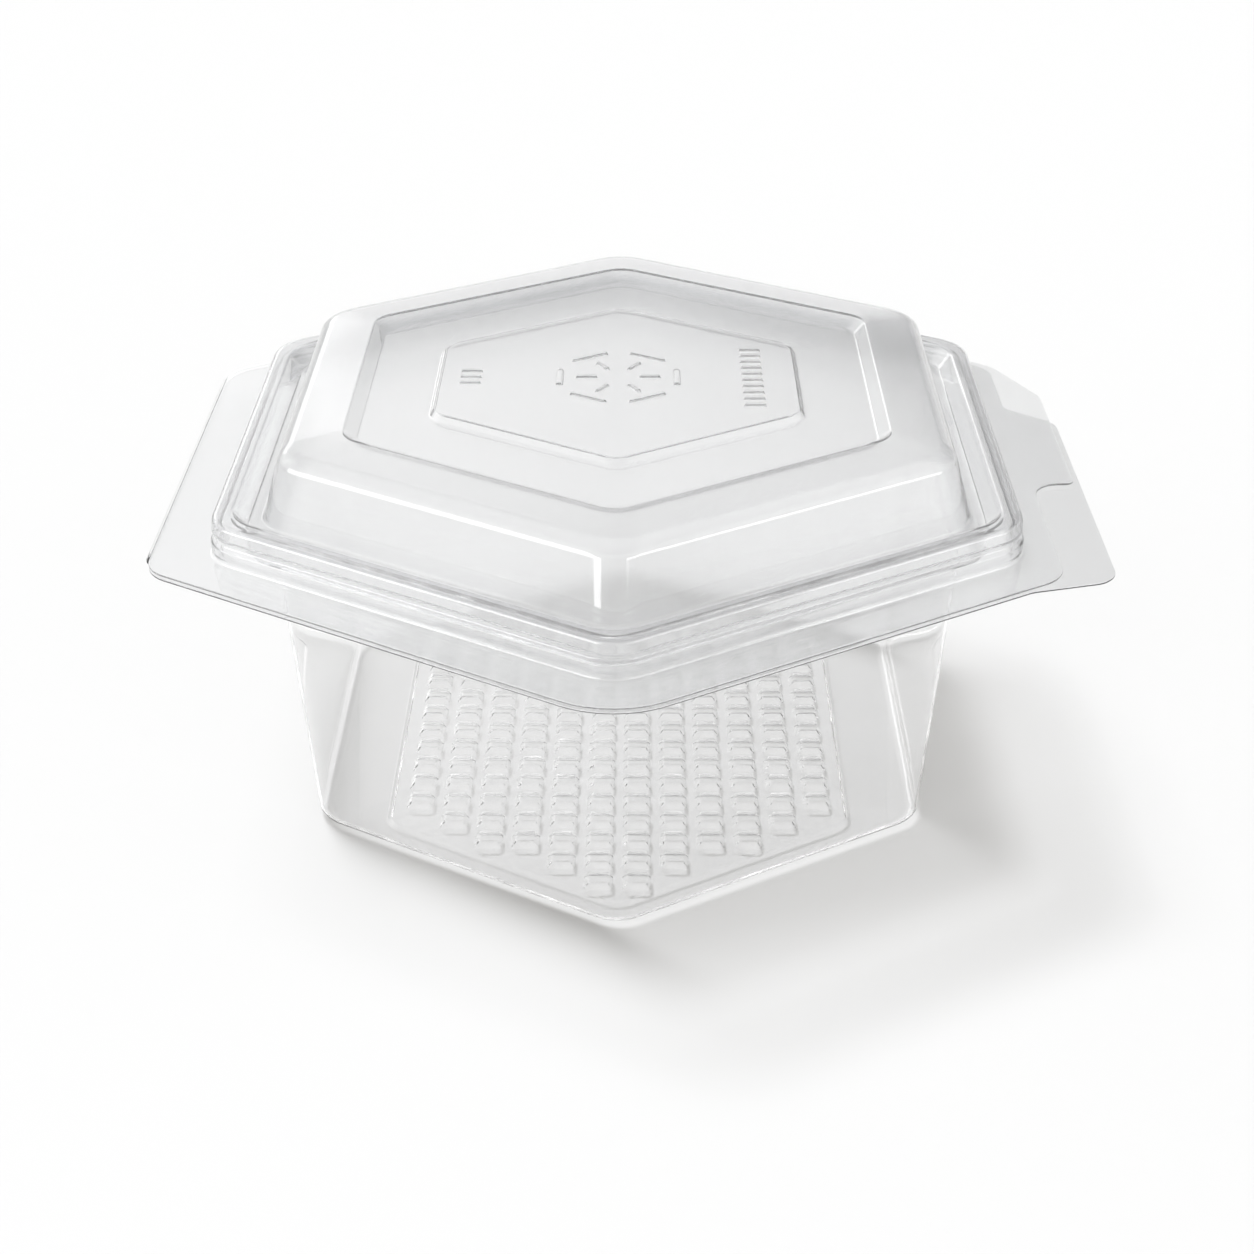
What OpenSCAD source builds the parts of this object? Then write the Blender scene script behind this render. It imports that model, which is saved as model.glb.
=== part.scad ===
// Hexagonal hinged food container, thermoformed from one clear sheet and folded along its left flange.
// Origin at the middle of the foot, +Z up, fold line on the -X side, corners of the hexagon at front and back.
// A "flat" is the distance from the middle to the flat sides of a hexagon.

/* [Sheet] */
// Thickness of the clear sheet
sheet = 0.45; // [0.35:0.05:0.55]
// Gap between the closed lid and the tray
seat_gap = 0.3; // [0.2:0.05:0.35]

/* [Skirt and rim] */
// Flat of the lid's skirt at its widest, outside
skirt_flat = 62.7; // [55:0.1:75]
// Height of the plane where the two flanges meet
flange_height = 52.8; // [30:0.1:80]
// Height of the rim above that plane
rim_rise = 7.2; // [6.8:0.1:9]
// Width of the rim's flat top
rim_width = 3; // [2.8:0.1:4]
// Depth of the snap groove around the skirt
groove_depth = 0.7; // [0.4:0.05:0.8]
// Corner radius of the rim and skirt, seen from above
rim_corner = 8; // [6:0.5:12]

/* [Tray] */
// Width of the ledge between the rim and the wall
ledge_width = 3.5; // [3.2:0.1:4.5]
// How far the ledge lies below the flange plane
ledge_drop = 0.4; // [0.2:0.1:1]
// Flare of the wall into the ledge
wall_flare = 2.8; // [1.5:0.1:2.8]
// Draft of the wall
wall_draft = 3.6; // [1:0.1:6]
// Fillet between the wall and the floor
foot_fillet = 1.8; // [1:0.1:2.5]
// Corner radius of the wall, seen from above
wall_corner = 7; // [5:0.5:10]

/* [Raised floor] */
// Width of the border round the raised floor on its four slanting sides
floor_border = 4.3; // [3:0.1:6]
// How much wider that border is on the left and right
floor_squeeze = 7.7; // [4:0.1:10]
// How far the raised floor stands above its border
floor_rise = 0.8; // [0.5:0.1:1.5]
// Corner radius of the raised floor
floor_corner = 4; // [3:0.5:6]

/* [Waffle pads] */
// Spacing of the pads from side to side
pad_pitch_x = 6.1; // [5.6:0.1:8]
// Spacing of the pads from front to back
pad_pitch_y = 5.6; // [5.2:0.1:8]
// Width of a pad at its foot, side to side
pad_width = 4.6; // [3.8:0.1:5]
// Depth of a pad at its foot, front to back
pad_depth = 4.2; // [3.6:0.1:4.6]
// Height of a pad
pad_height = 1.2; // [0.8:0.1:1.4]
// How much a pad draws in on each side towards its top
pad_draft = 0.8; // [0.5:0.1:1]
// Least bare floor left between a pad and the edge of the raised floor
pad_border = 0.2; // [0.1:0.1:3]

/* [Gutter and dome of the lid] */
// Depth of the gutter below the rim
gutter_depth = 2.8; // [2:0.1:3.2]
// Lean of the gutter's outer side away from upright
gutter_lean = 38; // [32:1:40]
// Width of the gutter's floor
gutter_width = 2; // [1.4:0.1:3]
// Height of the shoulder above the gutter, before it is rounded
dome_rise = 11.2; // [8:0.1:25]
// Draft of the dome's wall
dome_draft = 15.5; // [6:0.5:20]
// Fillet of the shoulder
shoulder_fillet = 3.2; // [2:0.1:4]
// Corner radius of the dome, seen from above
dome_corner = 7.5; // [6:0.5:9]
// Width of the crown between the shoulder and the recess
crown_width = 9.4; // [7:0.1:12]
// How far the crown climbs towards the recess
crown_rise = 0.9; // [0.2:0.1:1.5]

/* [Recess and panel of the lid] */
// Depth of the recess in the top
recess_depth = 1.9; // [1:0.1:2.5]
// Corner radius of the recess
recess_corner = 5; // [4:0.5:7]
// Width of the recess's floor round the raised panel, on the four slanting sides
recess_width = 13; // [9:0.1:16]
// How much further out the panel's left and right sides are
panel_stretch = 2.4; // [0:0.1:4]
// Height of the raised panel
panel_height = 1.2; // [0.6:0.1:1.6]
// Corner radius of the raised panel
panel_corner = 4; // [3:0.5:6]

/* [Flanges] */
// Width of both flanges beyond the skirt on the four slanting sides
flange_width = 6.5; // [5:0.1:9]
// Distance from the skirt to the fold line
fold_width = 9.4; // [8:0.1:14]
// Half the slot along the fold line
fold_clearance = 0.15; // [0.15:0.05:0.3]
// Width of the narrow stretches of flange on the right
right_width = 5.3; // [4.5:0.1:6]
// Radius of the flange corners at front and back
flange_tip_round = 15; // [8:0.5:18]
// Radius of the other flange corners
flange_corner = 6; // [4:0.5:7]

/* [Opening tabs] */
// Distance from the skirt to the outer edge of the tray's tab
tray_tab_width = 13.5; // [12.9:0.1:18]
// How far behind the middle the tray's tab starts to narrow
tray_tab_end = 16.5; // [12:0.5:20]
// Distance from the skirt to the outer edge of the lid's tab
lid_tab_width = 12.3; // [12:0.1:13]
// How far in front of the middle the lid's tab ends
lid_tab_end = 8.6; // [5:0.1:12]
// How far behind the middle the lid's tab starts to narrow
lid_tab_shoulder = 26.5; // [22:0.5:30]
// Radius in the root of the lid's tab
tab_root_round = 4.5; // [3:0.1:5]
// Radius of the outer corners of the tabs
tab_corner = 3; // [2:0.1:4]

/* [Hidden] */

// Straight pieces in each rounded corner of a hexagon, and in a corner of a flange
corner_steps = 5;
flange_steps = 6;

// Draft of the snap bead and of the wall inside it, and how far the bead stays below the rim
bead_draft = 5;
bead_headroom = 0.5;

// Top skins of the two flanges
tray_flange_top = flange_height - seat_gap / 2;
lid_flange_top = flange_height + seat_gap / 2 + sheet;

// The shells end in a lip that the flange plates overlap
lip_flat = skirt_flat + 2;
lip_overlap = 1;

// Lid, from the skirt to the middle of its top
rim_top = flange_height + rim_rise;
rim_lean = 0.5;
rim_inner = skirt_flat - rim_lean - rim_width;
groove_flat = skirt_flat - groove_depth;
groove_height = rim_top - 3.2;
groove_half = 0.8;
skirt_foot = groove_flat + seat_gap;
gutter_floor = rim_top - gutter_depth;
gutter_outer = rim_inner - gutter_depth * tan(gutter_lean);
dome_foot = gutter_outer - gutter_width;
shoulder_height = gutter_floor + dome_rise;
shoulder_flat = dome_foot - dome_rise * tan(dome_draft);
recess_flat = shoulder_flat - crown_width;
crown_height = shoulder_height + crown_rise;
recess_floor = crown_height - recess_depth;
recess_inner = recess_flat - recess_depth;
panel_foot = recess_inner - recess_width;
panel_slope = 0.6;
panel_flat = panel_foot - panel_height * panel_slope;
panel_top = recess_floor + panel_height;

// Tray, whose bead follows the lid's rim from inside and whose ledge lies under the gutter
bead_top = rim_top - sheet - bead_headroom;
bead_foot = groove_flat - sheet;
bead_outer = bead_foot - (bead_top - tray_flange_top) * tan(bead_draft);
bead_kink = gutter_floor - sheet - seat_gap;
function bead_inner(z) = rim_inner - (rim_top - z) * tan(gutter_lean) + (sheet + seat_gap) / cos(gutter_lean);
ledge = flange_height - ledge_drop;
ledge_outer = bead_inner(bead_kink) - (bead_kink - ledge) * tan(bead_draft);
wall_top = ledge_outer - ledge_width;
foot_flat = wall_top - (ledge - sheet) * tan(wall_draft);
floor_flat = foot_flat - floor_border;
floor_top = sheet + floor_rise;
pad_top = floor_top + pad_height;

// Distance along Y from the middle to a hexagon's slanting side, at a distance x from the middle
function slant(flat, x) = (flat - x * sin(30)) / cos(30);

// Unit vector, the vector a quarter turn to the left, and the vector turned by an angle
function unit(v) = v / norm(v);
function left(v) = [-v[1], v[0]];
function turned(v, t) = [v[0] * cos(t) - v[1] * sin(t), v[0] * sin(t) + v[1] * cos(t)];

// Signed turn at the corner b of a path a, b, c
function turn(a, b, c) = let(u = unit(b - a), v = unit(c - b)) atan2(u[0] * v[1] - u[1] * v[0], u * v);

// Points of a fillet of radius r at the corner b of a path a, b, c
function fillet(a, b, c, r, steps) =
    let(w = turn(a, b, c), u = unit(b - a), side = left(u) * sign(w) * r, start = b - u * r * tan(abs(w) / 2))
    [for (k = [0:steps]) start + side + turned(-side, w * k / steps)];

// Closed outline with its corners rounded, from corners given as [x, y, radius]
function rounded_outline(p) = [for (i = [0:len(p) - 1])
    let(a = p[(i + len(p) - 1) % len(p)], b = p[i], c = p[(i + 1) % len(p)])
    each fillet([a[0], a[1]], [b[0], b[1]], [c[0], c[1]], b[2], flange_steps)];

// A section is a list of corners [flat, height, fillet, corner radius, squeeze], from the lip inwards
function at(s, i) = [s[i][0], s[i][1]];
function steps_for(r) = r > 2 ? 4 : r > 1 ? 3 : 2;

// Corner i of a section moved by d to its under side
function mitre(s, i, d) =
    let(u = i > 0 ? unit(at(s, i) - at(s, i - 1)) : unit(at(s, 1) - at(s, 0)),
        v = i < len(s) - 1 ? unit(at(s, i + 1) - at(s, i)) : u,
        n = unit(left(u) + left(v)))
    at(s, i) + n * d / (n * left(u));

// The section's other skin, d below the first, whose fillets and corner radii follow it
function under(s, d) = [for (i = [0:len(s) - 1])
    let(q = mitre(s, i, d), bend = s[i][2] > 0 ? sign(turn(at(s, i - 1), at(s, i), at(s, i + 1))) : 0)
    [q[0], q[1], s[i][2] > 0 ? max(0.1, s[i][2] - bend * d) : 0, s[i][3] + q[0] - s[i][0], s[i][4]]];

// The section with its fillets drawn, as a list of [flat, height, corner radius, squeeze]
function drawn(s) = [for (i = [0:len(s) - 1])
    each s[i][2] > 0
        ? [for (q = fillet(at(s, i - 1), at(s, i), at(s, i + 1), s[i][2], steps_for(s[i][2])))
            [q[0], q[1], s[i][3], s[i][4]]]
        : [[s[i][0], s[i][1], s[i][3], s[i][4]]]];

// A hexagon with rounded corners at height z, whose left and right sides are squeezed towards the middle
function ring(flat, z, r, squeeze) = [for (k = [0:5])
    let(dir = 60 * k - 90, tip = k % 3 == 0, side = flat - squeeze - r,
        cx = tip ? 0 : side * sign(cos(dir)),
        cy = slant(flat - r, tip ? 0 : side) * sign(sin(dir)))
    for (j = [0:corner_steps])
        let(t = dir - 30 + 60 * j / corner_steps)
        [cx + r * cos(t), cy + r * sin(t), z]];

// The closed shell between a section's skin and the skin one sheet below it
module shell(section) {
    top = drawn(section);
    bottom = drawn(under(section, sheet));
    skins = [each top, for (i = [len(bottom) - 1:-1:0]) bottom[i]];
    rings = [for (s = skins) ring(s[0], s[1], s[2], s[3])];
    n = len(rings[0]);
    turns = len(rings);
    middle = len(top) - 1;
    sides = [for (i = [0:turns - 1])
        if (i != middle)
            for (j = [0:n - 1])
                let(k = (i + 1) % turns, m = (j + 1) % n)
                [i * n + j, k * n + j, k * n + m, i * n + m]];
    cap_top = [for (j = [n - 1:-1:0]) middle * n + j];
    cap_bottom = [for (j = [0:n - 1]) (middle + 1) * n + j];
    polyhedron([for (r = rings) each r], [each sides, cap_top, cap_bottom], convexity = 10);
}

// A flange plate of one sheet's thickness around the lip, its top at the given height
module flange_plate(outline, top) {
    hole = [for (q = ring(lip_flat - lip_overlap, 0, rim_corner + 1, 0)) [q[0], q[1]]];
    translate([0, 0, top - sheet])
        linear_extrude(height = sheet)
            difference() {
                polygon(rounded_outline(outline));
                polygon(hole);
            }
}

// Corners of a flange that both parts share: the two tips and the fold side
flange_flat = skirt_flat + flange_width;
flange_right = skirt_flat + right_width;
fold_reach = skirt_flat + fold_width;
fold_edge = fold_reach - fold_clearance;
fold_corner = slant(flange_flat, fold_edge);
right_corner = slant(flange_flat, flange_right);
front_tip = [0, -slant(flange_flat, 0), flange_tip_round];
fold_side = [[0, slant(flange_flat, 0), flange_tip_round],
             [-fold_edge, fold_corner, flange_corner],
             [-fold_edge, -fold_corner, flange_corner]];

// The tray's tab widens from the slanting front side and ends in a chamfer behind the middle
tray_tab_reach = skirt_flat + tray_tab_width;
tab_front = slant(flange_flat, skirt_flat);
tab_front_climb = 3.4;
tab_chamfer = 6.2;
tray_outline = [front_tip,
    [skirt_flat, -tab_front, flange_corner],
    [tray_tab_reach, tab_front_climb - tab_front, tab_corner * 1.5],
    [tray_tab_reach, tray_tab_end, tab_corner],
    [flange_right, tray_tab_end + tab_chamfer, tab_corner],
    [flange_right, right_corner, flange_corner],
    each fold_side];

// The lid's tab starts with a rounded root just in front of the middle and narrows at the back
lid_tab_reach = skirt_flat + lid_tab_width;
lid_outline = [front_tip,
    [flange_right, -right_corner, flange_corner],
    [flange_right, -lid_tab_end, tab_root_round],
    [lid_tab_reach, -lid_tab_end, tab_corner / 2],
    [lid_tab_reach, lid_tab_shoulder, tab_corner],
    [flange_right, right_corner, flange_corner],
    each fold_side];

// Top skin of the tray: flange, snap bead, ledge, wall, border and raised floor
tray_section = [
    [lip_flat, tray_flange_top, 0, rim_corner + 2, 0],
    [bead_foot, tray_flange_top, 0.8, rim_corner, 0],
    [bead_outer, bead_top, 0.8, rim_corner - 0.5, 0],
    [bead_inner(bead_top), bead_top, 0.7, rim_corner - 1, 0],
    [bead_inner(bead_kink), bead_kink, 0.8, rim_corner - 1, 0],
    [ledge_outer, ledge, 0.6, rim_corner - 1, 0],
    [wall_top, ledge, wall_flare, wall_corner, 0],
    [foot_flat, sheet, foot_fillet, wall_corner - 0.5, 0],
    [floor_flat + floor_rise, sheet, 0, floor_corner + floor_rise, floor_squeeze],
    [floor_flat, floor_top, 0, floor_corner, floor_squeeze],
    [floor_flat - 1, floor_top, 0, floor_corner - 1, floor_squeeze]];

// Top skin of the lid: flange, skirt with its snap groove, rim, gutter, dome, recess and raised panel
lid_section = [
    [lip_flat, lid_flange_top, 0, rim_corner + 2, 0],
    [skirt_foot, lid_flange_top, 0.5, rim_corner, 0],
    [skirt_flat, lid_flange_top + 1, 0.5, rim_corner, 0],
    [skirt_flat, groove_height - groove_half, 0.5, rim_corner, 0],
    [groove_flat, groove_height, 0.5, rim_corner, 0],
    [skirt_flat - rim_lean / 2, groove_height + groove_half, 0.5, rim_corner, 0],
    [skirt_flat - rim_lean, rim_top, 1.1, rim_corner, 0],
    [rim_inner, rim_top, 0.9, rim_corner, 0],
    [gutter_outer, gutter_floor, 0.6, rim_corner, 0],
    [dome_foot, gutter_floor, 0.6, dome_corner, 0],
    [shoulder_flat, shoulder_height, shoulder_fillet, dome_corner, 0],
    [recess_flat, crown_height, 0.6, recess_corner, 0],
    [recess_inner, recess_floor, 0.6, recess_corner, 0],
    [panel_foot, recess_floor, 0.4, panel_corner, -panel_stretch],
    [panel_flat, panel_top, 0.5, panel_corner, -panel_stretch],
    [panel_flat - 2, panel_top, 0, panel_corner - 2, -panel_stretch]];

// Number of pads in one half of the row at a distance y from the middle
function pads_at(y) = len([for (x = [pad_pitch_x / 2:pad_pitch_x:floor_flat])
    let(px = x + pad_width / 2, py = abs(y) + pad_depth / 2)
    if (px <= floor_flat - floor_squeeze - pad_border && py <= slant(floor_flat - pad_border, px)) x]);

// A ridge of pad section along X, as long as twice its reach, whose foot is carried on down by sink
module ridge(width, reach, top, sink) {
    foot = width / 2 + sink * pad_draft / pad_height;
    crest = width / 2 - pad_draft;
    rotate([90, 0, 90])
        translate([0, 0, -reach])
            linear_extrude(height = 2 * reach)
                polygon([[-foot, top - pad_height - sink], [foot, top - pad_height - sink],
                         [crest, top], [-crest, top]]);
}

// All the pads, as rows of ridges cut up by columns of ridges
module pads(top, sink) {
    rows = [for (y = [pad_pitch_y / 2:pad_pitch_y:slant(floor_flat, 0)]) if (pads_at(y) > 0) y];
    intersection() {
        for (y = rows, side = [-1, 1])
            translate([0, side * y, 0])
                ridge(pad_depth, pads_at(y) * pad_pitch_x, top, sink);
        for (x = [pad_pitch_x / 2:pad_pitch_x:pads_at(rows[0]) * pad_pitch_x], side = [-1, 1])
            translate([side * x, 0, 0])
                rotate([0, 0, 90])
                    ridge(pad_width, len(rows) * pad_pitch_y, top, sink);
    }
}

module tray() {
    color([0.93, 0.94, 0.95])
        difference() {
            union() {
                shell(tray_section);
                flange_plate(tray_outline, tray_flange_top);
                pads(pad_top, sheet / 2);
            }
            pads(pad_top - sheet, sheet / 2);
        }
}

module lid() {
    color([0.88, 0.91, 0.94])
        union() {
            shell(lid_section);
            flange_plate(lid_outline, lid_flange_top);
        }
}

tray();
lid();
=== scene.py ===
"""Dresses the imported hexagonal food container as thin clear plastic, standing in a plain white studio."""

import math

import bpy
import numpy as np
from mathutils import Matrix, Vector
from mathutils.geometry import tessellate_polygon


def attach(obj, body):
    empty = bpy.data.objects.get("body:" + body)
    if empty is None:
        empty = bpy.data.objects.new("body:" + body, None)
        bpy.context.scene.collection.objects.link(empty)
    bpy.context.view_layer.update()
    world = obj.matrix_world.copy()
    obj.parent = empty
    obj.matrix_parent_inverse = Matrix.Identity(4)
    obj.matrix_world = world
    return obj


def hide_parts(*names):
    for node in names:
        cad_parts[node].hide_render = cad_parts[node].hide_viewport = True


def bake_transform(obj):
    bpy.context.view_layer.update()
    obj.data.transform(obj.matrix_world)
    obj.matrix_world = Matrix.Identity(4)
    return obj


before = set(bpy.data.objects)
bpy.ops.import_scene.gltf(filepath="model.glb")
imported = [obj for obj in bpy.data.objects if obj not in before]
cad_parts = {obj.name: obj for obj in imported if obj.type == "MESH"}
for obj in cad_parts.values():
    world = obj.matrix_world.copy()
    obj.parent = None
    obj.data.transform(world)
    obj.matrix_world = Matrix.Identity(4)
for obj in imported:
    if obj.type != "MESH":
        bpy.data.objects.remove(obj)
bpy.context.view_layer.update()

# Sizes are in millimetres, as in the part's source, and become metres where a mesh or a material is made.
MM = 0.001


# Camera
# A long lens above and straight in front of the corner that faces the viewer.
# Its place, tilt and focal length come from fitting the hexagon's edges in the square photograph.
image_side = 1254
focal_pixels = 2095.2
camera_distance = 368.3
camera_target = Vector((1.29, 0, 21.05))
camera_elevation = math.radians(30.14)
camera_azimuth = math.radians(0.464)
camera_roll = math.radians(-0.186)

back = Vector((math.sin(camera_azimuth) * math.cos(camera_elevation),
               -math.cos(camera_azimuth) * math.cos(camera_elevation),
               math.sin(camera_elevation)))
right = Vector((0, 0, 1)).cross(back).normalized()
roll = Matrix.Rotation(camera_roll, 3, back)
axes = Matrix((roll @ right, roll @ back.cross(right), back)).transposed()
camera_data = bpy.data.cameras.new("camera")
camera_data.sensor_width = 36
camera_data.lens = camera_data.sensor_width * focal_pixels / image_side
camera_data.clip_start = 0.01
camera = bpy.data.objects.new("camera", camera_data)
camera.matrix_world = Matrix.Translation((camera_target + back * camera_distance) * MM) @ axes.to_4x4()
bpy.context.scene.collection.objects.link(camera)
bpy.context.scene.camera = camera


# Tray
# The lower half of the clear sheet: a flange with an opening tab, a snap bead, a ledge and a deep draft wall.
# It is vacuum formed from one sheet, so both skins follow the same section, one sheet apart.
sheet = 0.45
seat_gap = 0.3
skirt_flat = 62.7
flange_height = 52.8
rim_height = 7.2
rim_width = 3.5
rim_corner = 8
groove_depth = 0.7
gutter_depth = 2.8
gutter_lean = math.radians(38)
bead_draft = math.radians(5)
wall_draft = math.radians(3.6)
lip_width = 2
bead_clearance = 0.5
ledge_drop = 0.4
ledge_width = 3.5
border_width = 4.3
arc_steps = 12
fillet_steps = 7

rim_top = flange_height + rim_height
rim_inner = skirt_flat - rim_width
groove_flat = skirt_flat - groove_depth
gutter_floor = rim_top - gutter_depth
lip_flat = skirt_flat + lip_width
tray_flange_top = flange_height - seat_gap / 2
bead_top = rim_top - sheet - bead_clearance
bead_foot = groove_flat - sheet
bead_outer = bead_foot - (bead_top - tray_flange_top) * math.tan(bead_draft)
bead_kink = gutter_floor - sheet - seat_gap


def bead_inner(height):
    """Flat of the bead's inner side, which follows the lid's gutter one gap away."""
    slope = math.tan(gutter_lean)
    return rim_inner - (rim_top - height) * slope + (sheet + seat_gap) / math.cos(gutter_lean)


ledge = flange_height - ledge_drop
ledge_outer = bead_inner(bead_kink) - (bead_kink - ledge) * math.tan(bead_draft)
wall_top = ledge_outer - ledge_width
foot_flat = wall_top - (ledge - sheet) * math.tan(wall_draft)
floor_flat = foot_flat - border_width
floor_squeeze = 7.7
floor_rise = 0.8
floor_top = sheet + floor_rise

# Corners of the section from the lip inwards: flat, height, fillet, corner radius, squeeze of left and right
tray_section = [
    (lip_flat, tray_flange_top, 0, rim_corner + 2, 0),
    (bead_foot, tray_flange_top, 0.8, rim_corner, 0),
    (bead_outer, bead_top, 0.8, rim_corner - 0.5, 0),
    (bead_inner(bead_top), bead_top, 0.7, rim_corner - 1, 0),
    (bead_inner(bead_kink), bead_kink, 0.8, rim_corner - 1, 0),
    (ledge_outer, ledge, 0.6, rim_corner - 1, 0),
    (wall_top, ledge, 2.8, 7, 0),
    (foot_flat, sheet, 1.8, 6.5, 0),
    (floor_flat + floor_rise, sheet, 0.35, 4 + floor_rise, floor_squeeze),
    (floor_flat, floor_top, 0.35, 4, floor_squeeze),
    (floor_flat - 1, floor_top, 0, 3, floor_squeeze)]


def unit(v):
    return v / np.linalg.norm(v)


def left(v):
    return np.array((-v[1], v[0]))


def turn(a, b, c):
    """Signed turn at the corner b of a path a, b, c."""
    u, v = unit(b - a), unit(c - b)
    return math.atan2(u[0] * v[1] - u[1] * v[0], u @ v)


def fillet(a, b, c, radius, steps):
    """Points of a rounded corner b on a path a, b, c."""
    a, b, c = (np.array(p[:2], float) for p in (a, b, c))
    angle, along = turn(a, b, c), unit(b - a)
    side = left(along) * math.copysign(radius, angle)
    start = b - along * radius * math.tan(abs(angle) / 2)
    points = []
    for k in range(steps + 1):
        s, co = math.sin(angle * k / steps), math.cos(angle * k / steps)
        points.append(start + side - np.array((side[0] * co - side[1] * s, side[0] * s + side[1] * co)))
    return points


def underside(section, depth):
    """The section's lower skin, moved by a mitre at each corner, with fillets that follow it."""
    path = [np.array(row[:2], float) for row in section]
    rows = []
    for i, (flat, height, radius, corner, squeeze) in enumerate(section):
        before = unit(path[i] - path[i - 1]) if i else unit(path[1] - path[0])
        after = unit(path[i + 1] - path[i]) if i + 1 < len(path) else before
        normal = unit(left(before) + left(after))
        place = path[i] + normal * depth / (normal @ left(before))
        bend = math.copysign(1, turn(path[i - 1], path[i], path[i + 1])) if radius else 0
        follow = max(0.1, radius - bend * depth) if radius else 0
        rows.append((place[0], place[1], follow, corner + place[0] - flat, squeeze))
    return rows


def hexagon_ring(flat, height, radius, squeeze):
    """A level hexagon with rounded corners, pointing front and back."""
    points = []
    for k in range(6):
        direction, tip = math.radians(60 * k - 90), k % 3 == 0
        side = flat - squeeze - radius
        across = 0 if tip else side
        x = math.copysign(across, math.cos(direction))
        y = math.copysign((flat - radius - across / 2) / math.cos(math.pi / 6), math.sin(direction))
        for j in range(arc_steps + 1):
            t = direction - math.pi / 6 + math.pi / 3 * j / arc_steps
            points.append((x + radius * math.cos(t), y + radius * math.sin(t), height))
    return points


def skin(section):
    """Rings of one skin, with its fillets drawn."""
    rings = []
    for i, (flat, height, radius, corner, squeeze) in enumerate(section):
        if radius:
            drawn = fillet(section[i - 1], section[i], section[i + 1], radius, fillet_steps)
        else:
            drawn = [(flat, height)]
        rings += [hexagon_ring(p[0], p[1], corner, squeeze) for p in drawn]
    return rings


def rounded_outline(corners):
    """A closed outline through corners given as x, y and radius."""
    count = len(corners)
    points = []
    for i, (x, y, radius) in enumerate(corners):
        points += fillet(corners[i - 1], corners[i], corners[(i + 1) % count], radius, arc_steps)
    return np.array(points)


def inset(outline, distance):
    """The outline moved inwards, each point square to its neighbours."""
    along = np.roll(outline, -1, 0) - np.roll(outline, 1, 0)
    inwards = np.stack((-along[:, 1], along[:, 0]), 1)
    return outline + inwards / np.linalg.norm(inwards, axis=1)[:, None] * distance


class Mesh:
    """Points and faces of one piece, in millimetres. Rings run anticlockwise seen from above."""

    def __init__(self):
        self.points, self.faces = [], []

    def ring(self, points):
        start = len(self.points)
        self.points += [tuple(p) for p in points]
        return range(start, len(self.points))

    def rings(self, loops):
        """Rings joined by quads, one after another, which face outwards on the way from below to above."""
        made = [self.ring(loop) for loop in loops]
        for a, b in zip(made, made[1:]):
            for j in range(len(a)):
                k = (j + 1) % len(a)
                self.faces.append((a[j], a[k], b[k], b[j]))
        return made

    def plate(self, outer, inner, upwards):
        """Level faces between an outline and the hole inside it."""
        index = [*outer, *inner]
        loops = [[Vector(self.points[i]) for i in loop] for loop in (outer, inner)]
        for corners in tessellate_polygon(loops):
            a, b, c = (self.points[index[i]] for i in corners)
            rises = (b[0] - a[0]) * (c[1] - a[1]) > (b[1] - a[1]) * (c[0] - a[0])
            face = [index[i] for i in corners]
            self.faces.append(face if rises == upwards else face[::-1])

    def build(self, name):
        data = bpy.data.meshes.new(name)
        data.from_pydata([Vector(p) * MM for p in self.points], [], self.faces)
        data.shade_smooth()
        piece = bpy.data.objects.new(name, data)
        bpy.context.scene.collection.objects.link(piece)
        return piece


edge_steps = 6
edge_margin = 0.35


def formed_sheet(name, section, outline):
    """One formed sheet: both skins of the section, and a flange out to the outline with a rounded edge."""
    mesh = Mesh()
    middle, radius = section[0][1] - sheet / 2, sheet / 2
    upper = mesh.rings(skin(section))
    mesh.faces.append(tuple(upper[-1]))
    lower = mesh.rings(skin(underside(section, sheet))[::-1])
    mesh.faces.append(tuple(lower[0])[::-1])
    arc = [math.pi * (k / edge_steps - 0.5) for k in range(edge_steps + 1)]
    profile = [(radius * (1 - math.cos(t)), middle + radius * math.sin(t)) for t in arc]
    flat_part = radius + edge_margin
    profile = [(flat_part, middle - radius), *profile, (flat_part, middle + radius)]
    edge = mesh.rings([[(x, y, z) for x, y in inset(outline, d)] for d, z in profile])
    mesh.plate(edge[-1], upper[0], True)
    mesh.plate(edge[0], lower[-1], False)
    return mesh.build(name)


def finished(piece, name, material):
    """The piece with its modifiers applied, its level faces shaded level, and its material on."""
    weighted = piece.modifiers.new("level faces", "WEIGHTED_NORMAL")
    weighted.mode = "FACE_AREA"
    weighted.weight = 50
    depsgraph = bpy.context.evaluated_depsgraph_get()
    data = bpy.data.meshes.new_from_object(piece.evaluated_get(depsgraph))
    data.name = name
    data.materials.clear()
    data.materials.append(material)
    bpy.data.objects.remove(piece)
    result = bpy.data.objects.new(name, data)
    bpy.context.scene.collection.objects.link(result)
    return result


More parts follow.
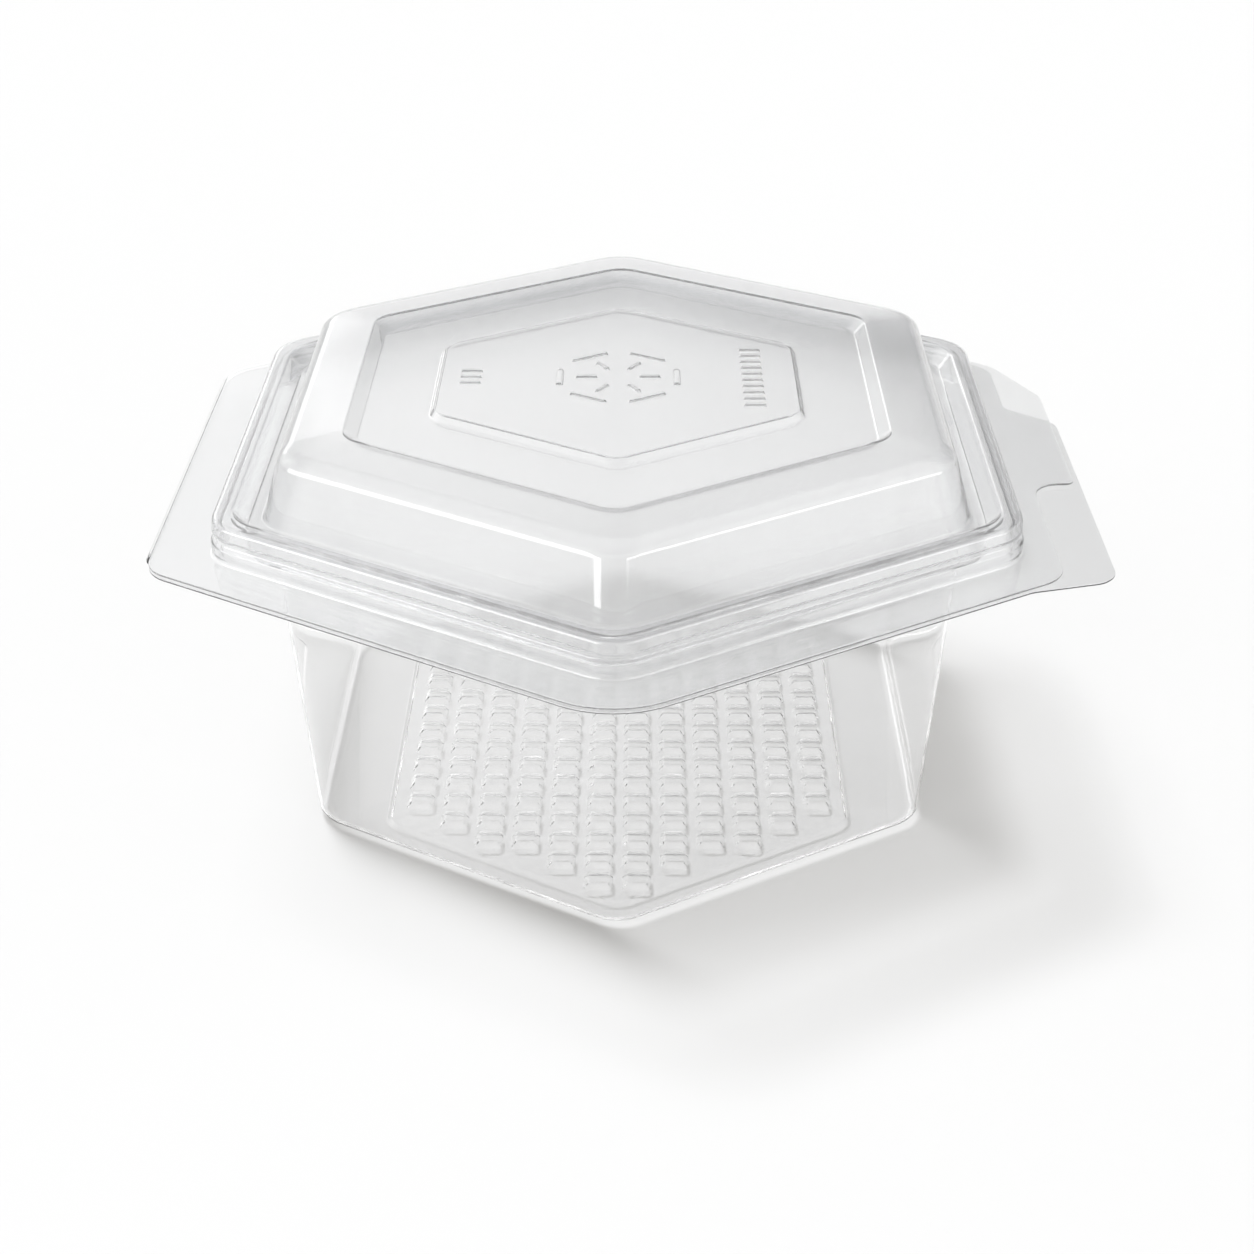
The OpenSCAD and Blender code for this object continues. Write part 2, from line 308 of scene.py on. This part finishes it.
class Wire:
    """A node's output socket. Operators add Math nodes, and node() adds any other node."""

    def __init__(self, tree, socket=None):
        self.tree, self.socket = tree, socket

    def node(self, kind, inputs=None, output=0, **settings):
        made = self.tree.nodes.new(kind)
        for key, value in settings.items():
            setattr(made, key, value)
        for key, value in (inputs or {}).items():
            if isinstance(value, Wire):
                self.tree.links.new(value.socket, made.inputs[key])
            else:
                made.inputs[key].default_value = value
        return Wire(self.tree, made.outputs[output] if made.outputs else None)

    def math(self, operation, *values, **settings):
        return self.node("ShaderNodeMath", dict(enumerate(values)), operation=operation, **settings)

    def __add__(self, other):
        return self.math("ADD", self, other)

    def __sub__(self, other):
        return self.math("SUBTRACT", self, other)

    def __rsub__(self, other):
        return self.math("SUBTRACT", other, self)

    def __mul__(self, other):
        return self.math("MULTIPLY", self, other)

    def __truediv__(self, other):
        return self.math("DIVIDE", self, other)

    def __gt__(self, other):
        return self.math("GREATER_THAN", self, other)

    def __abs__(self):
        return self.math("ABSOLUTE", self)

    __radd__ = __add__
    __rmul__ = __mul__


# Where the painted shade and the haze change over the sheet: slope of the surface, band round the flange,
# blends. The painted shade stands in for how light falls: steep parts, level parts, the crown and the flange
# each get a tone of their own.
steep_normal, level_normal = 0.35, 0.75
flange_band_inner, flange_band_outer = 1, 2
crown_blend = 1
haze_blend = 2

# Painted shadow: how much lamp light the sheet holds back is set by place, not by the sheet, the most at the
# foot, in front and on the right, so that its shadow falls there.
painted_shadow_colour = (0.34, 0.33, 0.31, 1)
painted_shadow_height = 55
painted_shadow_right, painted_shadow_front = 0.5, 0.2
most_bounces = 9


def clear_plastic(name, steep, level, flange, clearness, bend,
                  crown=(1, 1, 1, 1), crown_flat=90, haze=0, haze_flat=1, least_painted_shadow=0):
    """Clear glossy sheet with faint ripples from forming.

    It has one painted shade on steep parts, one on level parts, one on the crown outside crown_flat and one
    on the flange, tones that stand in for how light falls there, and is milky inside haze_flat. Lamp light
    passes straight through, with a loss that grows with slant and is a painted shadow set by place.
    """
    material = bpy.data.materials.new(name)
    material.use_nodes = True
    material.node_tree.nodes.clear()
    start = Wire(material.node_tree)
    place = start.node("ShaderNodeTexCoord", output="Object")
    x, y, z = (start.node("ShaderNodeSeparateXYZ", {0: place}, output=axis) for axis in "XYZ")
    flat = abs(x).math("MAXIMUM", abs(x), abs(x) * 0.5 + abs(y) * math.cos(math.pi / 6))

    face = start.node("ShaderNodeNewGeometry", output="Normal")
    upright = abs(start.node("ShaderNodeSeparateXYZ", {0: face}, output="Z"))
    is_level = start.node("ShaderNodeMapRange", {
        "Value": upright, "From Min": steep_normal, "From Max": level_normal})
    is_flange = start.node("ShaderNodeMapRange", {
        "Value": abs(z - flange_height * MM),
        "From Min": flange_band_outer * MM, "From Max": flange_band_inner * MM})
    is_crown = start.node("ShaderNodeMapRange", {
        "Value": flat, "From Min": crown_flat * MM, "From Max": (crown_flat + crown_blend) * MM})
    # Painted shade: the tone is picked by slope, crown and flange band, and stands in for how light falls on
    # each part.
    painted_shade = start.node("ShaderNodeMix", {0: is_crown, 6: level, 7: crown}, output=2, data_type="RGBA")
    painted_shade = start.node("ShaderNodeMix", {0: is_level, 6: steep, 7: painted_shade}, output=2, data_type="RGBA")
    painted_shade = start.node("ShaderNodeMix", {0: is_flange, 6: painted_shade, 7: flange}, output=2, data_type="RGBA")

    milky = start.node("ShaderNodeMapRange", {
        "Value": flat, "From Min": haze_flat * MM, "From Max": (haze_flat + haze_blend) * MM,
        "To Min": haze, "To Max": haze * 0.4})
    cloud = start.node("ShaderNodeTexNoise", {"Vector": place, "Scale": 260, "Detail": 3})
    ripple = start.node("ShaderNodeTexNoise", {"Vector": place, "Scale": 70, "Detail": 1.5, "Roughness": 0.4})
    bump = start.node("ShaderNodeBump", {"Height": ripple, "Strength": 0.03, "Distance": 0.0006})
    plastic = start.node("ShaderNodeBsdfPrincipled", {
        "Base Color": painted_shade, "Roughness": cloud * 0.03 + milky, "IOR": bend,
        "Coat Weight": 1, "Coat Roughness": 0.02, "Coat IOR": 1.6,
        "Transmission Weight": clearness, "Normal": bump})

    # Painted shadow: for lamp and bounced light the sheet is a see-through stand-in whose loss grows with
    # slant, as a real sheet's does, and is painted by place, deepest low down, in front and on the right.
    facing = start.node("ShaderNodeLayerWeight", {"Blend": 0.5}, output="Facing")
    low = start.node("ShaderNodeMapRange", {
        "Value": z - x * painted_shadow_right + y * painted_shadow_front,
        "From Min": 0, "From Max": painted_shadow_height * MM, "To Min": 1, "To Max": 0})
    straight = start.node("ShaderNodeBsdfTransparent", {"Color": (0.99, 0.99, 0.99, 1)})
    slanting = start.node("ShaderNodeBsdfTransparent", {"Color": painted_shadow_colour})
    passing = start.node("ShaderNodeMixShader", {
        0: (facing * facing + least_painted_shadow) * (low * 0.9 + 0.1), 1: straight, 2: slanting})
    shadow = start.node("ShaderNodeLightPath", output="Is Shadow Ray")
    diffuse = start.node("ShaderNodeLightPath", output="Is Diffuse Ray")
    deep = start.node("ShaderNodeLightPath", output="Ray Depth") > most_bounces
    plain = shadow.math("MAXIMUM", shadow.math("MAXIMUM", shadow, diffuse), deep)
    surface = start.node("ShaderNodeMixShader", {0: plain, 1: plastic, 2: passing})
    start.node("ShaderNodeOutputMaterial", {"Surface": surface})
    return material


# The tray's darker level parts and much darker flange are painted shade.
tray_plastic = clear_plastic(
    "clear tray sheet", steep=(0.99, 0.99, 0.99, 1), level=(0.965, 0.967, 0.97, 1),
    flange=(0.88, 0.882, 0.885, 1), clearness=0.985, bend=1.13, least_painted_shadow=0.03)

flange_width, flange_right_width, flange_left_width = 6.5, 5.3, 9.25
flange_corner = 6
tip_corner = 15
tray_tab_width = 13.5
tray_tab_end = 16.5
tray_tab_slant, tray_tab_return = 3.4, 6.2
flange_flat = skirt_flat + flange_width
flange_right = skirt_flat + flange_right_width
fold_edge = skirt_flat + flange_left_width


def slant(flat, x):
    """Distance from the middle to a hexagon's slanting side, at a distance x to one side."""
    return (flat - x / 2) / math.cos(math.pi / 6)


fold_corner = slant(flange_flat, fold_edge)
right_corner = slant(flange_flat, flange_right)
front_tip = (0, -slant(flange_flat, 0), tip_corner)
fold_side = [
    (0, slant(flange_flat, 0), tip_corner),
    (-fold_edge, fold_corner, flange_corner),
    (-fold_edge, -fold_corner, flange_corner)]
tray_tab_reach = skirt_flat + tray_tab_width
tab_front = -slant(flange_flat, skirt_flat)
tray_outline = rounded_outline([
    front_tip,
    (skirt_flat, tab_front, flange_corner),
    (tray_tab_reach, tab_front + tray_tab_slant, 4.5),
    (tray_tab_reach, tray_tab_end, 3),
    (flange_right, tray_tab_end + tray_tab_return, 3),
    (flange_right, right_corner, flange_corner),
    *fold_side])
tray = formed_sheet("tray sheet", tray_section, tray_outline)


# Waffle pads
# A grid of hollow pads pressed up into the raised floor, which keep the food off it and stiffen it.
# They are part of the sheet: the upper skin rises over each pad, and the lower skin follows one sheet below.
pad_pitch = (6.1, 5.6)
pad_size = (4.6, 4.2)
pad_height = 1.2
pad_draft = 0.8
pad_fillet = 0.3
pad_corner = 0.8
pad_crown = 0.04
pad_steps = 2
pad_border = 0.2
pad_sink = 0.06
pad_columns, pad_rows = 12, 18


def rounded_rectangle(half_x, half_y, radius, height, steps):
    points = []
    for k in range(4):
        x = (half_x - radius) * (1, -1, -1, 1)[k]
        y = (half_y - radius) * (1, 1, -1, -1)[k]
        for j in range(steps + 1):
            t = math.pi / 2 * (k + j / steps)
            points.append((x + radius * math.cos(t), y + radius * math.sin(t), height))
    return points


def boss(name, half_x, half_y, radius, profile, steps):
    """A closed boss from rounded rectangles, each drawn in by an inset at a height."""
    mesh = Mesh()
    made = mesh.rings([rounded_rectangle(half_x - d, half_y - d, max(radius - d, 0.08), z, steps)
                       for d, z in profile])
    mesh.faces.append(tuple(made[0])[::-1])
    mesh.faces.append(tuple(made[-1]))
    return mesh.build(name)


pad_profile = [
    (-0.5, -pad_sink),
    *fillet((-2, -pad_sink), (0, 0), (pad_draft, pad_height), pad_fillet, pad_steps),
    *fillet((0, 0), (pad_draft, pad_height), (2, pad_height + pad_crown), pad_fillet, pad_steps)]
pad = boss("pad", pad_size[0] / 2, pad_size[1] / 2, pad_corner, pad_profile, pad_steps)


def node_tree(name, inputs):
    """An empty Geometry Nodes tree with named inputs, and a wire to each of them."""
    tree = bpy.data.node_groups.new(name, "GeometryNodeTree")
    tree.interface.new_socket("Geometry", in_out="OUTPUT", socket_type="NodeSocketGeometry")
    for label, kind in inputs.items():
        tree.interface.new_socket(label, in_out="INPUT", socket_type=kind)
    entry = tree.nodes.new("NodeGroupInput")
    return tree, {label: Wire(tree, entry.outputs[label]) for label in inputs}


def grown(tree, name, values):
    """The mesh that a Geometry Nodes tree makes from these values, as an object of its own."""
    host = bpy.data.objects.new(name, bpy.data.meshes.new(name))
    bpy.context.scene.collection.objects.link(host)
    modifier = host.modifiers.new(tree.name, "NODES")
    modifier.node_group = tree
    for item in tree.interface.items_tree:
        if item.in_out == "INPUT":
            modifier[item.identifier] = values[item.name]
    depsgraph = bpy.context.evaluated_depsgraph_get()
    data = bpy.data.meshes.new_from_object(host.evaluated_get(depsgraph))
    host.modifiers.remove(modifier)
    host.data = data
    return host


pads_tree, given = node_tree("waffle pads", {
    "Pad": "NodeSocketObject", "Columns": "NodeSocketInt", "Rows": "NodeSocketInt",
    "Pitch X": "NodeSocketFloat", "Pitch Y": "NodeSocketFloat",
    "Pad Width": "NodeSocketFloat", "Pad Depth": "NodeSocketFloat",
    "Flat": "NodeSocketFloat", "Side": "NodeSocketFloat", "Height": "NodeSocketFloat",
    "Material": "NodeSocketMaterial"})
start = Wire(pads_tree)
grid = start.node("GeometryNodeMeshGrid", {
    "Size X": (given["Columns"] - 1) * given["Pitch X"], "Size Y": (given["Rows"] - 1) * given["Pitch Y"],
    "Vertices X": given["Columns"], "Vertices Y": given["Rows"]}, output="Mesh")
place = start.node("GeometryNodeInputPosition")
place_x = start.node("ShaderNodeSeparateXYZ", {0: place}, output="X")
place_y = start.node("ShaderNodeSeparateXYZ", {0: place}, output="Y")
far_x = abs(place_x) + given["Pad Width"] / 2
far_y = abs(place_y) + given["Pad Depth"] / 2
off_slant = far_y > (given["Flat"] - far_x / 2) / math.cos(math.pi / 6)
outside = off_slant.math("MAXIMUM", off_slant, far_x > given["Side"])
kept = start.node("GeometryNodeDeleteGeometry", {"Geometry": grid, "Selection": outside}, domain="POINT")
lifted = start.node("GeometryNodeTransform", {
    "Geometry": kept, "Translation": start.node("ShaderNodeCombineXYZ", {"Z": given["Height"]})})
one_pad = start.node("GeometryNodeObjectInfo", {"Object": given["Pad"]}, output="Geometry")
pads = start.node("GeometryNodeInstanceOnPoints", {"Points": lifted, "Instance": one_pad})
pads = start.node("GeometryNodeRealizeInstances", {"Geometry": pads})
pads = start.node("GeometryNodeSetMaterial", {"Geometry": pads, "Material": given["Material"]})
start.node("NodeGroupOutput", {"Geometry": pads})


def cut_or_join(piece, tool, operation):
    modifier = piece.modifiers.new(tool.name, "BOOLEAN")
    modifier.solver = "MANIFOLD"
    modifier.operation = operation
    modifier.object = tool


pad_values = {
    "Pad": pad, "Columns": pad_columns, "Rows": pad_rows,
    "Pitch X": pad_pitch[0] * MM, "Pitch Y": pad_pitch[1] * MM,
    "Pad Width": pad_size[0] * MM, "Pad Depth": pad_size[1] * MM, "Material": tray_plastic,
    "Flat": (floor_flat - pad_border) * MM, "Side": (floor_flat - floor_squeeze - pad_border) * MM}
pads_above = grown(pads_tree, "pads above", {**pad_values, "Height": floor_top * MM})
pads_below = grown(pads_tree, "pads below", {**pad_values, "Height": (floor_top - sheet) * MM})
cut_or_join(tray, pads_above, "UNION")
cut_or_join(tray, pads_below, "DIFFERENCE")
clear_tray = finished(tray, "clear_tray", tray_plastic)
for used in (pad, pads_above, pads_below):
    bpy.data.objects.remove(used)
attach(clear_tray, "tray_body")
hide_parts("tray")


# Lid
# The upper half of the same sheet: a skirt with a snap groove, a rim, a gutter and a low dome.
# The dome's top is sunk round a raised panel that carries an embossed pattern.
groove_drop = 3.2
gutter_width = 2
dome_rise = 11.2
dome_draft = math.radians(15.5)
crown_width = 9.4
crown_rise = 0.9
recess_depth = 1.9
recess_width = 13
panel_height = 1.2
panel_slope = 0.6
panel_squeeze = -2.4

lid_flange_top = flange_height + seat_gap / 2 + sheet
groove_height = rim_top - groove_drop
skirt_foot = groove_flat + seat_gap
gutter_outer = rim_inner - (rim_top - gutter_floor) * math.tan(gutter_lean)
dome_foot = gutter_outer - gutter_width
shoulder_height = gutter_floor + dome_rise
shoulder_flat = dome_foot - dome_rise * math.tan(dome_draft)
recess_flat = shoulder_flat - crown_width
crown_height = shoulder_height + crown_rise
recess_floor = crown_height - recess_depth
recess_inner = recess_flat - recess_depth
panel_foot = recess_inner - recess_width
panel_flat = panel_foot - panel_height * panel_slope
panel_top = recess_floor + panel_height

# The lid's darker steep walls and crown, and its lighter flange, are painted shade and painted light.
lid_plastic = clear_plastic(
    "clear lid sheet", steep=(0.856, 0.859, 0.864, 1), level=(0.908, 0.911, 0.916, 1),
    flange=(0.985, 0.988, 0.99, 1), clearness=0.95, bend=1.15,
    crown=(0.886, 0.889, 0.894, 1), crown_flat=43, haze=0.23, haze_flat=55.2)

lid_section = [
    (lip_flat, lid_flange_top, 0, rim_corner + 2, 0),
    (skirt_foot, lid_flange_top, 0.5, rim_corner, 0),
    (skirt_flat, lid_flange_top + 1, 0.5, rim_corner, 0),
    (skirt_flat, groove_height - 0.8, 0.5, rim_corner, 0),
    (groove_flat, groove_height, 0.5, rim_corner, 0),
    (skirt_flat - 0.25, groove_height + 0.8, 0.5, rim_corner, 0),
    (skirt_flat - 0.5, rim_top, 1.1, rim_corner, 0),
    (rim_inner, rim_top, 0.9, rim_corner, 0),
    (gutter_outer, gutter_floor, 0.6, rim_corner, 0),
    (dome_foot, gutter_floor, 0.6, 7.5, 0),
    (shoulder_flat, shoulder_height, 3.2, 7.5, 0),
    (recess_flat, crown_height, 0.6, 5, 0),
    (recess_inner, recess_floor, 0.6, 5, 0),
    (panel_foot, recess_floor, 0.4, 4, panel_squeeze),
    (panel_flat, panel_top, 0.5, 4, panel_squeeze),
    (panel_flat - 2, panel_top, 0, 2, panel_squeeze)]
lid_tab_reach = skirt_flat + 12.3
lid_tab_front, lid_tab_rear = -8.6, 26.5
lid_outline = rounded_outline([
    front_tip,
    (flange_right, -right_corner, flange_corner),
    (flange_right, lid_tab_front, 4.5),
    (lid_tab_reach, lid_tab_front, 1.5),
    (lid_tab_reach, lid_tab_rear, 3),
    (flange_right, right_corner, flange_corner),
    *fold_side])
lid = formed_sheet("lid sheet", lid_section, lid_outline)


# Embossed pattern
# Low hollow ribs pressed up in the raised panel: a rosette in the middle with a stack of bars on each side.
# They only dress the panel and stiffen it, and they follow both skins as the pads do.
rib_width = 1.1
rib_height = 0.35
rib_draft = 0.22
rib_fillet = 0.15
rib_crown = 0.02
long_rib_reach, short_rib_reach = 3.4, 1.8
rosette_outer, rosette_inner = 9.6, 5.2
# Each stack's place across the panel, its pitch and its count of bars
left_stack = (-24.2, 2.4, 3)
right_stack = (22, 2.5, 10)

rib_profile = [
    (-0.3, -pad_sink),
    *fillet((-1, -pad_sink), (0, 0), (rib_draft, rib_height), rib_fillet, 2),
    *fillet((0, 0), (rib_draft, rib_height), (1, rib_height + rib_crown), rib_fillet, 2)]
long_rib = boss("long rib", long_rib_reach, rib_width / 2, rib_width / 2, rib_profile, 3)
short_rib = boss("short rib", short_rib_reach, rib_width / 2, rib_width / 2, rib_profile, 3)

ribs_tree, given = node_tree("embossed pattern", {
    "Long Rib": "NodeSocketObject", "Short Rib": "NodeSocketObject",
    "Outer Radius": "NodeSocketFloat", "Inner Radius": "NodeSocketFloat",
    "Left Stack": "NodeSocketFloat", "Left Pitch": "NodeSocketFloat", "Left Bars": "NodeSocketInt",
    "Right Stack": "NodeSocketFloat", "Right Pitch": "NodeSocketFloat", "Right Bars": "NodeSocketInt",
    "Height": "NodeSocketFloat", "Material": "NodeSocketMaterial"})
start = Wire(ribs_tree)


def shape_of(label):
    return start.node("GeometryNodeObjectInfo", {"Object": given[label]}, output="Geometry")


def rosette(radius, label, quarter):
    """Six ribs round the middle. Their turn is along the ring, or a quarter turn more, across it."""
    ring = start.node("GeometryNodeMeshCircle", {"Vertices": 6, "Radius": radius})
    index = start.node("GeometryNodeInputIndex")
    turned = start.node("ShaderNodeCombineXYZ", {"Z": index * (math.pi / 3) + math.pi / 2 * quarter})
    return start.node("GeometryNodeInstanceOnPoints", {
        "Points": ring, "Instance": shape_of(label), "Rotation": turned})


def stack(side):
    """A column of short bars on one side of the middle, its count and pitch given."""
    bars, pitch = given[side + " Bars"], given[side + " Pitch"]
    foot = start.node("ShaderNodeCombineXYZ", {"X": given[side + " Stack"], "Y": (bars - 1) * pitch * -0.5})
    line = start.node("GeometryNodeMeshLine", {
        "Count": bars, "Start Location": foot,
        "Offset": start.node("ShaderNodeCombineXYZ", {"Y": pitch})}, mode="OFFSET")
    return start.node("GeometryNodeInstanceOnPoints", {"Points": line, "Instance": shape_of("Short Rib")})


joined = ribs_tree.nodes.new("GeometryNodeJoinGeometry")
for part in (rosette(given["Outer Radius"], "Long Rib", 1), rosette(given["Inner Radius"], "Short Rib", 0),
             stack("Left"), stack("Right")):
    ribs_tree.links.new(part.socket, joined.inputs[0])
lifted = start.node("GeometryNodeTransform", {
    "Geometry": Wire(ribs_tree, joined.outputs[0]),
    "Translation": start.node("ShaderNodeCombineXYZ", {"Z": given["Height"]})})
ribs = start.node("GeometryNodeRealizeInstances", {"Geometry": lifted})
ribs = start.node("GeometryNodeSetMaterial", {"Geometry": ribs, "Material": given["Material"]})
start.node("NodeGroupOutput", {"Geometry": ribs})

rib_values = {
    "Long Rib": long_rib, "Short Rib": short_rib, "Material": lid_plastic,
    "Outer Radius": rosette_outer * MM, "Inner Radius": rosette_inner * MM}
for side, (across, pitch, bars) in (("Left", left_stack), ("Right", right_stack)):
    rib_values.update({side + " Stack": across * MM, side + " Pitch": pitch * MM, side + " Bars": bars})
ribs_above = grown(ribs_tree, "ribs above", {**rib_values, "Height": panel_top * MM})
ribs_below = grown(ribs_tree, "ribs below", {**rib_values, "Height": (panel_top - sheet) * MM})
cut_or_join(lid, ribs_above, "UNION")
cut_or_join(lid, ribs_below, "DIFFERENCE")
clear_lid = finished(lid, "clear_lid", lid_plastic)
for used in (long_rib, short_rib, ribs_above, ribs_below):
    bpy.data.objects.remove(used)
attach(clear_lid, "lid_body")
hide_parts("lid")


# Fold
# The strip of the same sheet along the left side, where the lid folds over onto the tray.
# It is a half tube round the fold line that joins the edges of the two flanges, made in its closed shape
# only.
fold_inside = seat_gap / 2
fold_outside = fold_inside + sheet
fold_reach = fold_corner - flange_corner * math.tan(math.pi / 6)
fold_steps = 16
fold_rings = 24
end_taper = 0.5
end_thinning = sheet * 0.4


def fold_ring(y, thinner):
    """The half tube's section at one place along the fold, each skin drawn in by the same amount."""
    points = []
    for radius, way in ((fold_outside - thinner, 1), (fold_inside + thinner, -1)):
        for k in range(fold_steps + 1)[::way]:
            t = math.pi / 2 + math.pi * k / fold_steps
            points.append((-fold_edge + radius * math.cos(t), y, flange_height + radius * math.sin(t)))
    return points


# The ends are thinned a little, and closed by faces with points of their own, so that they shade flat.
strip = Mesh()
along = [fold_ring(y, 0) for y in np.linspace(fold_reach - end_taper, end_taper - fold_reach, fold_rings)]
ends = strip.rings([fold_ring(fold_reach, end_thinning), *along, fold_ring(-fold_reach, end_thinning)])
caps = [strip.ring([strip.points[i] for i in end]) for end in (ends[0], ends[-1])]
strip.faces += [tuple(caps[0])[::-1], tuple(caps[1])]
fold_strip = finished(strip.build("fold"), "fold_strip", tray_plastic)
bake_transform(fold_strip)


# Studio
# A pale paper floor under an even sky with soft boxes low down, whose reflections draw the thin white lines
# and the tones of the top. One broad lamp from the left and behind throws the soft shadow to the right.
floor_radius = 3000
floor_drop = 0.02
floor_grey = 0.545
floor_data = bpy.data.meshes.new("floor")
floor_data.from_pydata(
    [Vector((floor_radius * x, floor_radius * y, -floor_drop)) * MM
     for x, y in ((-1, -1), (1, -1), (1, 1), (-1, 1))],
    [], [(0, 1, 2, 3)])
floor = bpy.data.objects.new("floor", floor_data)
bpy.context.scene.collection.objects.link(floor)
paper = bpy.data.materials.new("floor paper")
paper.use_nodes = True
paper.node_tree.nodes.clear()
start = Wire(paper.node_tree)
matt = start.node("ShaderNodeBsdfDiffuse", {"Color": (floor_grey, floor_grey, floor_grey, 1)})
start.node("ShaderNodeOutputMaterial", {"Surface": matt})
floor_data.materials.append(paper)

world = bpy.data.worlds.new("studio")
world.use_nodes = True
world.node_tree.nodes.clear()
bpy.context.scene.world = world
start = Wire(world.node_tree)
direction = start.node("ShaderNodeTexCoord", output="Generated")


def soft_box(azimuth, elevation, half_width, half_height, softness):
    """How much of a soft rectangle of light is seen in a direction, with its angles in degrees."""
    a, e = math.radians(azimuth), math.radians(elevation)
    centre = Vector((math.sin(a) * math.cos(e), math.cos(a) * math.cos(e), math.sin(e)))
    across = Vector((math.cos(a), -math.sin(a), 0))
    parts = []
    for axis, half in ((across, half_width), (centre.cross(across), half_height)):
        offset = direction.node(
            "ShaderNodeVectorMath", {0: direction, 1: axis}, output="Value", operation="DOT_PRODUCT")
        inside = (math.sin(math.radians(half)) - abs(offset)) / softness
        parts.append(inside.math("ADD", inside, 0.5, use_clamp=True))
    ahead = direction.node(
        "ShaderNodeVectorMath", {0: direction, 1: centre}, output="Value", operation="DOT_PRODUCT")
    return parts[0] * parts[1] * (ahead > 0)


# Azimuth from the rear towards the right, elevation, half width, half height, softness and strength
soft_boxes = {
    "left": (-112, 13, 24, 9, 0.08, 3.5),
    "front": (-144, 7, 7, 8, 0.05, 4.5),
    "right": (128, 12, 26, 5, 0.05, 2.8),
    "low rear": (-4, 10, 16, 7, 0.1, 0.35),
    "low left": (-27, 16, 14, 6, 0.08, 1.6),
    "rear left": (-34, 30, 35, 14, 0.3, 0.7),
    "dark rear": (11, 31, 49, 19, 0.25, -0.88)}
zenith_level, ring_level, darkest = 0.3, 0.65, 0.05
ring_top, ring_softness = 0.62, 0.25

up = start.node("ShaderNodeSeparateXYZ", {0: direction}, output="Z")
ring = ((ring_top - up) / ring_softness).math("ADD", (ring_top - up) / ring_softness, 0.5, use_clamp=True)
sky = zenith_level + ring * ring_level
for *shape, strength in soft_boxes.values():
    sky = sky + soft_box(*shape) * strength
sky = sky.math("MAXIMUM", sky, darkest)
background = start.node("ShaderNodeBackground", {"Color": (1, 1, 1, 1), "Strength": sky})
start.node("ShaderNodeOutputWorld", {"Surface": background})

towards_sun = Vector((-0.27, 0.30, 0.92))
sun_data = bpy.data.lights.new("shadow lamp", "SUN")
sun_data.energy = 4.2
sun_data.angle = math.radians(15)
sun = bpy.data.objects.new("shadow lamp", sun_data)
sun.rotation_euler = towards_sun.to_track_quat("Z", "Y").to_euler()
sun.visible_glossy = False
sun.visible_transmission = False
bpy.context.scene.collection.objects.link(sun)

scene = bpy.context.scene
scene.view_settings.view_transform = "Standard"
scene.cycles.max_bounces = 32
scene.cycles.transmission_bounces = 32
scene.cycles.transparent_max_bounces = 48
scene.cycles.sample_clamp_indirect = 3
scene.cycles.caustics_reflective = False
scene.cycles.caustics_refractive = False
